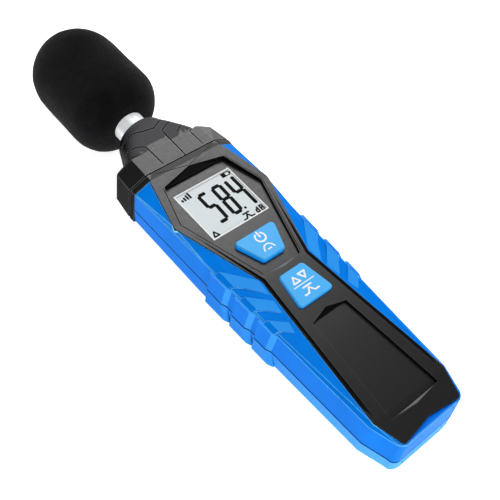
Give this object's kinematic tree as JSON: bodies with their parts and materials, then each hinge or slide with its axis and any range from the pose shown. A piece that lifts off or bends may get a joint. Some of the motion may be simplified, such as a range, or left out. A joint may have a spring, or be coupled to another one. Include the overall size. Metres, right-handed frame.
{
  "type": "sound level meter",
  "caption": "Hand-held sound level meter: tapered ribbed case, sunk display, two push buttons, microphone stem with a pull-off foam windscreen, tripod socket and battery door.",
  "frame": {"origin": "centre of the tripod socket mouth, on the flat back of the case", "axes": "+Z out of the display side, +Y along the case towards the microphone, +X to the right of the display"},
  "size_m": [0.051, 0.2403, 0.0428],
  "materials": {
    "blue_case": "satin",
    "dark_panel": "satin",
    "black_collar": "satin",
    "clear_window": "clear",
    "lcd_glass": "semi-gloss",
    "white_holder": "satin",
    "zebra_rubber": "matte",
    "blue_key": "satin",
    "switch_body": "satin",
    "board_green": "semi-gloss",
    "chip_black": "matte",
    "steel_screw": "brushed",
    "tube_metal": "satin",
    "grid_metal": "brushed",
    "capsule_metal": "satin",
    "wire_red": "gloss",
    "seal_rubber": "matte",
    "foam": "matte",
    "cell_label": "gloss",
    "spring_steel": "plain",
    "nut_brass": "plain"
  },
  "bodies": {
    "case": {"rear_shell": "blue_case", "front_shell": "blue_case", "front_panel": "dark_panel", "nose_housing": "black_collar", "display_lens": "clear_window", "display_glass": "lcd_glass", "display_holder": "white_holder", "zebra_strips": "zebra_rubber", "power_switch": "switch_body", "mode_switch": "switch_body", "main_board": "board_green", "meter_chips": "chip_black", "board_screws": "steel_screw", "mic_tube": "tube_metal", "mic_grid": "grid_metal", "mic_capsule": "capsule_metal", "mic_board": "board_green", "mic_wires": "wire_red", "tube_seal": "seal_rubber", "battery_1": "cell_label", "battery_2": "cell_label", "battery_3": "cell_label", "battery_springs": "spring_steel", "battery_plates": "spring_steel", "battery_wires": "wire_red", "case_screws": "steel_screw", "tripod_nut": "nut_brass"},
    "power_key": {"power_button": "blue_key"},
    "mode_key": {"mode_button": "blue_key"},
    "foam_ball": {"windscreen": "foam"},
    "battery_door": {"battery_cover": "blue_case", "cover_screw": "steel_screw"}
  },
  "joints": [
    {"name": "power_press", "type": "slide", "parent": "case", "child": "power_key", "axis": [0, 0, -1], "range_m": [0, 0.0008], "stiffness_N_per_m": 1500, "springref_m": -0.0002},
    {"name": "mode_press", "type": "slide", "parent": "case", "child": "mode_key", "axis": [0, 0, -1], "range_m": [0, 0.0008], "stiffness_N_per_m": 1500, "springref_m": -0.0002},
    {"name": "foam_pull", "type": "slide", "parent": "case", "child": "foam_ball", "axis": [0, 1, 0], "range_m": [0, 0.045]},
    {"name": "battery_door_lift", "type": "slide", "parent": "case", "child": "battery_door", "axis": [0, 0, -1], "range_m": [0, 0.02]}
  ]
}
